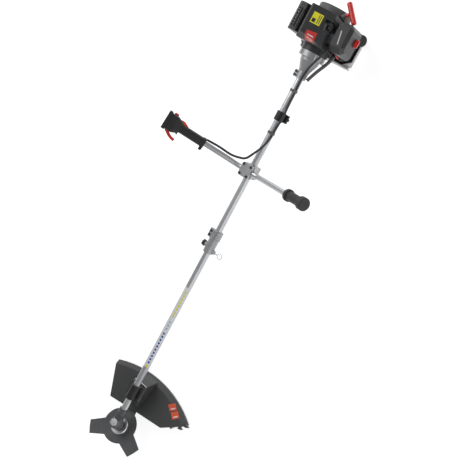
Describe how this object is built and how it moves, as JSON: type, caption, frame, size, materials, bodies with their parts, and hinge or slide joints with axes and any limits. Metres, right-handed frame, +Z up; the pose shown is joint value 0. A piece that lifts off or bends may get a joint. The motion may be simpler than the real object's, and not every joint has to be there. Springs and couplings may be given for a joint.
{
  "type": "brush cutter",
  "caption": "Petrol brush cutter with a straight drive tube, a three-toothed blade under a fan guard, a raised bar with a throttle grip, and a small engine with a pull starter.",
  "frame": {"origin": "on the ground, under the middle of the machine as it lies on its engine stand and guard", "axes": "+X runs along the drive tube from the blade to the engine, +Y to the operator's right, +Z up"},
  "size_m": [1.9071, 0.6271, 0.3587],
  "materials": {
    "dark_casting": "dark painted die casting",
    "bright_casting": "bright die casting",
    "bright_tube": "drawn and anodised tube",
    "steel": "ground steel",
    "plated_steel": "bright plated",
    "blade_steel": "dark coated spring steel",
    "black_plastic": "textured moulding",
    "grey_plastic": "textured moulding",
    "red_plastic": "smooth moulding",
    "rubber": "soft moulding",
    "cast_iron": "machined iron"
  },
  "bodies": {
    "boom": {"ball_bearings": "steel", "bar_cap": "bright_casting", "bar_saddle": "bright_casting", "cable_clips": "grey_plastic", "carburettor": "bright_casting", "clutch_housing": "bright_casting", "crankcase": "bright_casting", "cylinder": "bright_casting", "engine_shroud": "black_plastic", "filter_base": "black_plastic", "filter_cover": "black_plastic", "fuel_line": "rubber", "fuel_tank": "black_plastic", "gear_cap": "plated_steel", "gear_housing": "dark_casting", "grip_collar": "black_plastic", "grip_lower_shell": "black_plastic", "grip_upper_shell": "black_plastic", "guard_clamp": "black_plastic", "guard_plate": "plated_steel", "guard_shield": "black_plastic", "handlebar": "bright_tube", "harness_clamp": "black_plastic", "line_cutter": "steel", "lower_tube": "bright_tube", "muffler": "cast_iron", "muffler_guard": "black_plastic", "piston_and_rod": "steel", "plain_grip": "rubber", "recoil_housing": "grey_plastic", "shaft_bushes": "rubber", "socket_screws": "steel", "spark_plug": "rubber", "tank_stand": "grey_plastic", "throttle_cable": "rubber", "tube_coupler": "bright_casting", "upper_tube": "bright_tube", "wire_conduit": "grey_plastic"},
    "drive_line": {"drive_pinion": "steel", "drive_shafts": "steel", "clutch_drum": "steel"},
    "blade_set": {"output_spindle": "steel", "blade_flange": "plated_steel", "blade": "blade_steel", "blade_fastening": "steel"},
    "crank_set": {"flywheel": "bright_casting", "crankshaft": "steel"},
    "reel": {"starter_reel": "black_plastic"},
    "handle": {"starter_handle": "red_plastic"},
    "trigger": {"throttle_trigger": "red_plastic"},
    "lever": {"lockout_lever": "red_plastic"},
    "switch": {"stop_switch": "red_plastic"},
    "button": {"half_throttle_button": "black_plastic"},
    "carb_arm": {"throttle_arm": "steel"},
    "primer": {"primer_bulb": "rubber"},
    "knob": {"filter_knob": "red_plastic"},
    "choke": {"choke_lever": "black_plastic"},
    "cap": {"fuel_cap": "black_plastic"},
    "clamp_knob": {"coupler_knob": "black_plastic"},
    "latch": {"latch_pin": "plated_steel"}
  },
  "joints": [
    {"name": "drive_spin", "type": "hinge", "parent": "boom", "child": "drive_line", "pos_m": [-0.85, 0, 0.15], "axis": [1, 0, 0], "continuous": true},
    {"name": "blade_spin", "type": "hinge", "parent": "boom", "child": "blade_set", "pos_m": [-0.85, 0, 0.15], "axis": [0.5, 0, 0.866], "continuous": true},
    {"name": "crank_spin", "type": "hinge", "parent": "boom", "child": "crank_set", "pos_m": [0.818, 0, 0.15], "axis": [1, 0, 0], "continuous": true},
    {"name": "starter_pull", "type": "slide", "parent": "boom", "child": "handle", "axis": [0.6816, -0.7317, 0], "range_m": [0, 0.7], "stiffness_N_per_m": 12, "springref_m": -0.25},
    {"name": "reel_spin", "type": "hinge", "parent": "boom", "child": "reel", "pos_m": [0.895, 0, 0.15], "axis": [1, 0, 0], "range_deg": [0, 960]},
    {"name": "throttle_trigger", "type": "hinge", "parent": "boom", "child": "trigger", "pos_m": [0.29267, 0.28427, 0.32892], "axis": [0.1484, -0.5194, 0.8415], "range_deg": [0, 20], "stiffness_Nm_per_rad": 0.35, "springref_deg": -20.05},
    {"name": "throttle_arm_turn", "type": "hinge", "parent": "boom", "child": "carb_arm", "pos_m": [0.816, -0.052, 0.19], "axis": [0, 0, -1], "range_deg": [0, 45]},
    {"name": "lockout_press", "type": "hinge", "parent": "boom", "child": "lever", "pos_m": [0.32794, 0.23129, 0.28999], "axis": [0.1484, -0.5194, 0.8415], "range_deg": [0, 8], "stiffness_Nm_per_rad": 0.4, "springref_deg": -14.32},
    {"name": "stop_switch_slide", "type": "slide", "parent": "boom", "child": "switch", "axis": [0.0902, 0.8545, 0.5115], "range_m": [0, 0.0034]},
    {"name": "half_throttle_press", "type": "slide", "parent": "boom", "child": "button", "axis": [0.9848, 0, -0.1736], "range_m": [0, 0.0024], "stiffness_N_per_m": 900, "springref_m": -0.0015},
    {"name": "primer_press", "type": "slide", "parent": "boom", "child": "primer", "axis": [0, 0, 1], "range_m": [0, 0.0028], "stiffness_N_per_m": 700, "springref_m": -0.0012},
    {"name": "filter_knob_turn", "type": "hinge", "parent": "boom", "child": "knob", "pos_m": [0.84, -0.118, 0.152], "axis": [0, -1, 0], "range_deg": [0, 360]},
    {"name": "choke_turn", "type": "hinge", "parent": "boom", "child": "choke", "pos_m": [0.791, -0.066, 0.158], "axis": [0, -1, 0], "range_deg": [0, 60]},
    {"name": "fuel_cap_turn", "type": "hinge", "parent": "boom", "child": "cap", "pos_m": [0.864, -0.09, 0.072], "axis": [0, -0.8192, 0.5736], "range_deg": [0, 360]},
    {"name": "coupler_knob_turn", "type": "hinge", "parent": "boom", "child": "clamp_knob", "pos_m": [-0.023, 0, 0.15], "axis": [0, 1, 0], "range_deg": [0, 360]},
    {"name": "latch_pull", "type": "slide", "parent": "boom", "child": "latch", "axis": [0, -1, 0], "range_m": [0, 0.008], "stiffness_N_per_m": 600, "springref_m": -0.004}
  ],
  "couplings": [
    {"joint": "blade_spin", "follows": "drive_spin", "ratio": -0.73684},
    {"joint": "reel_spin", "follows": "starter_pull", "rad_per_m": 23.8},
    {"joint": "throttle_arm_turn", "follows": "throttle_trigger", "ratio": 2.25}
  ]
}
